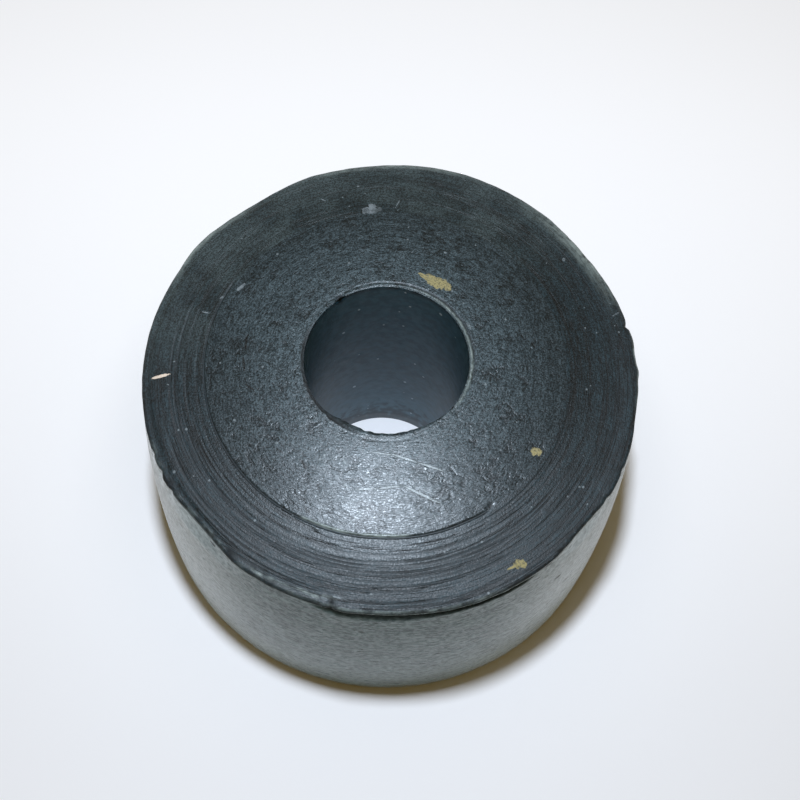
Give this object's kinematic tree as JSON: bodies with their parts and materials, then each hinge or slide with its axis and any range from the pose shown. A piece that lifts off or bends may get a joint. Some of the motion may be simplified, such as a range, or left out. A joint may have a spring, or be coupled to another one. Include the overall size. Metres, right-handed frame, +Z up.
{
  "type": "shock absorber bushing",
  "caption": "Thick solid rubber ring with a straight bore, a barrelled wall and a low conical parted-off face, squeezed between cup washers on a damper stud.",
  "frame": {"origin": "middle of the bore at the foot face", "axes": "+Z up along the bore, from the foot face to the parted-off face with the tool marks; the torn lip on that face's edge is towards -Y"},
  "size_m": [0.0402, 0.0403, 0.0254],
  "materials": {
    "rubber": "dull, cut and turned"
  },
  "bodies": {
    "root": {"bushing": "rubber"}
  },
  "joints": []
}
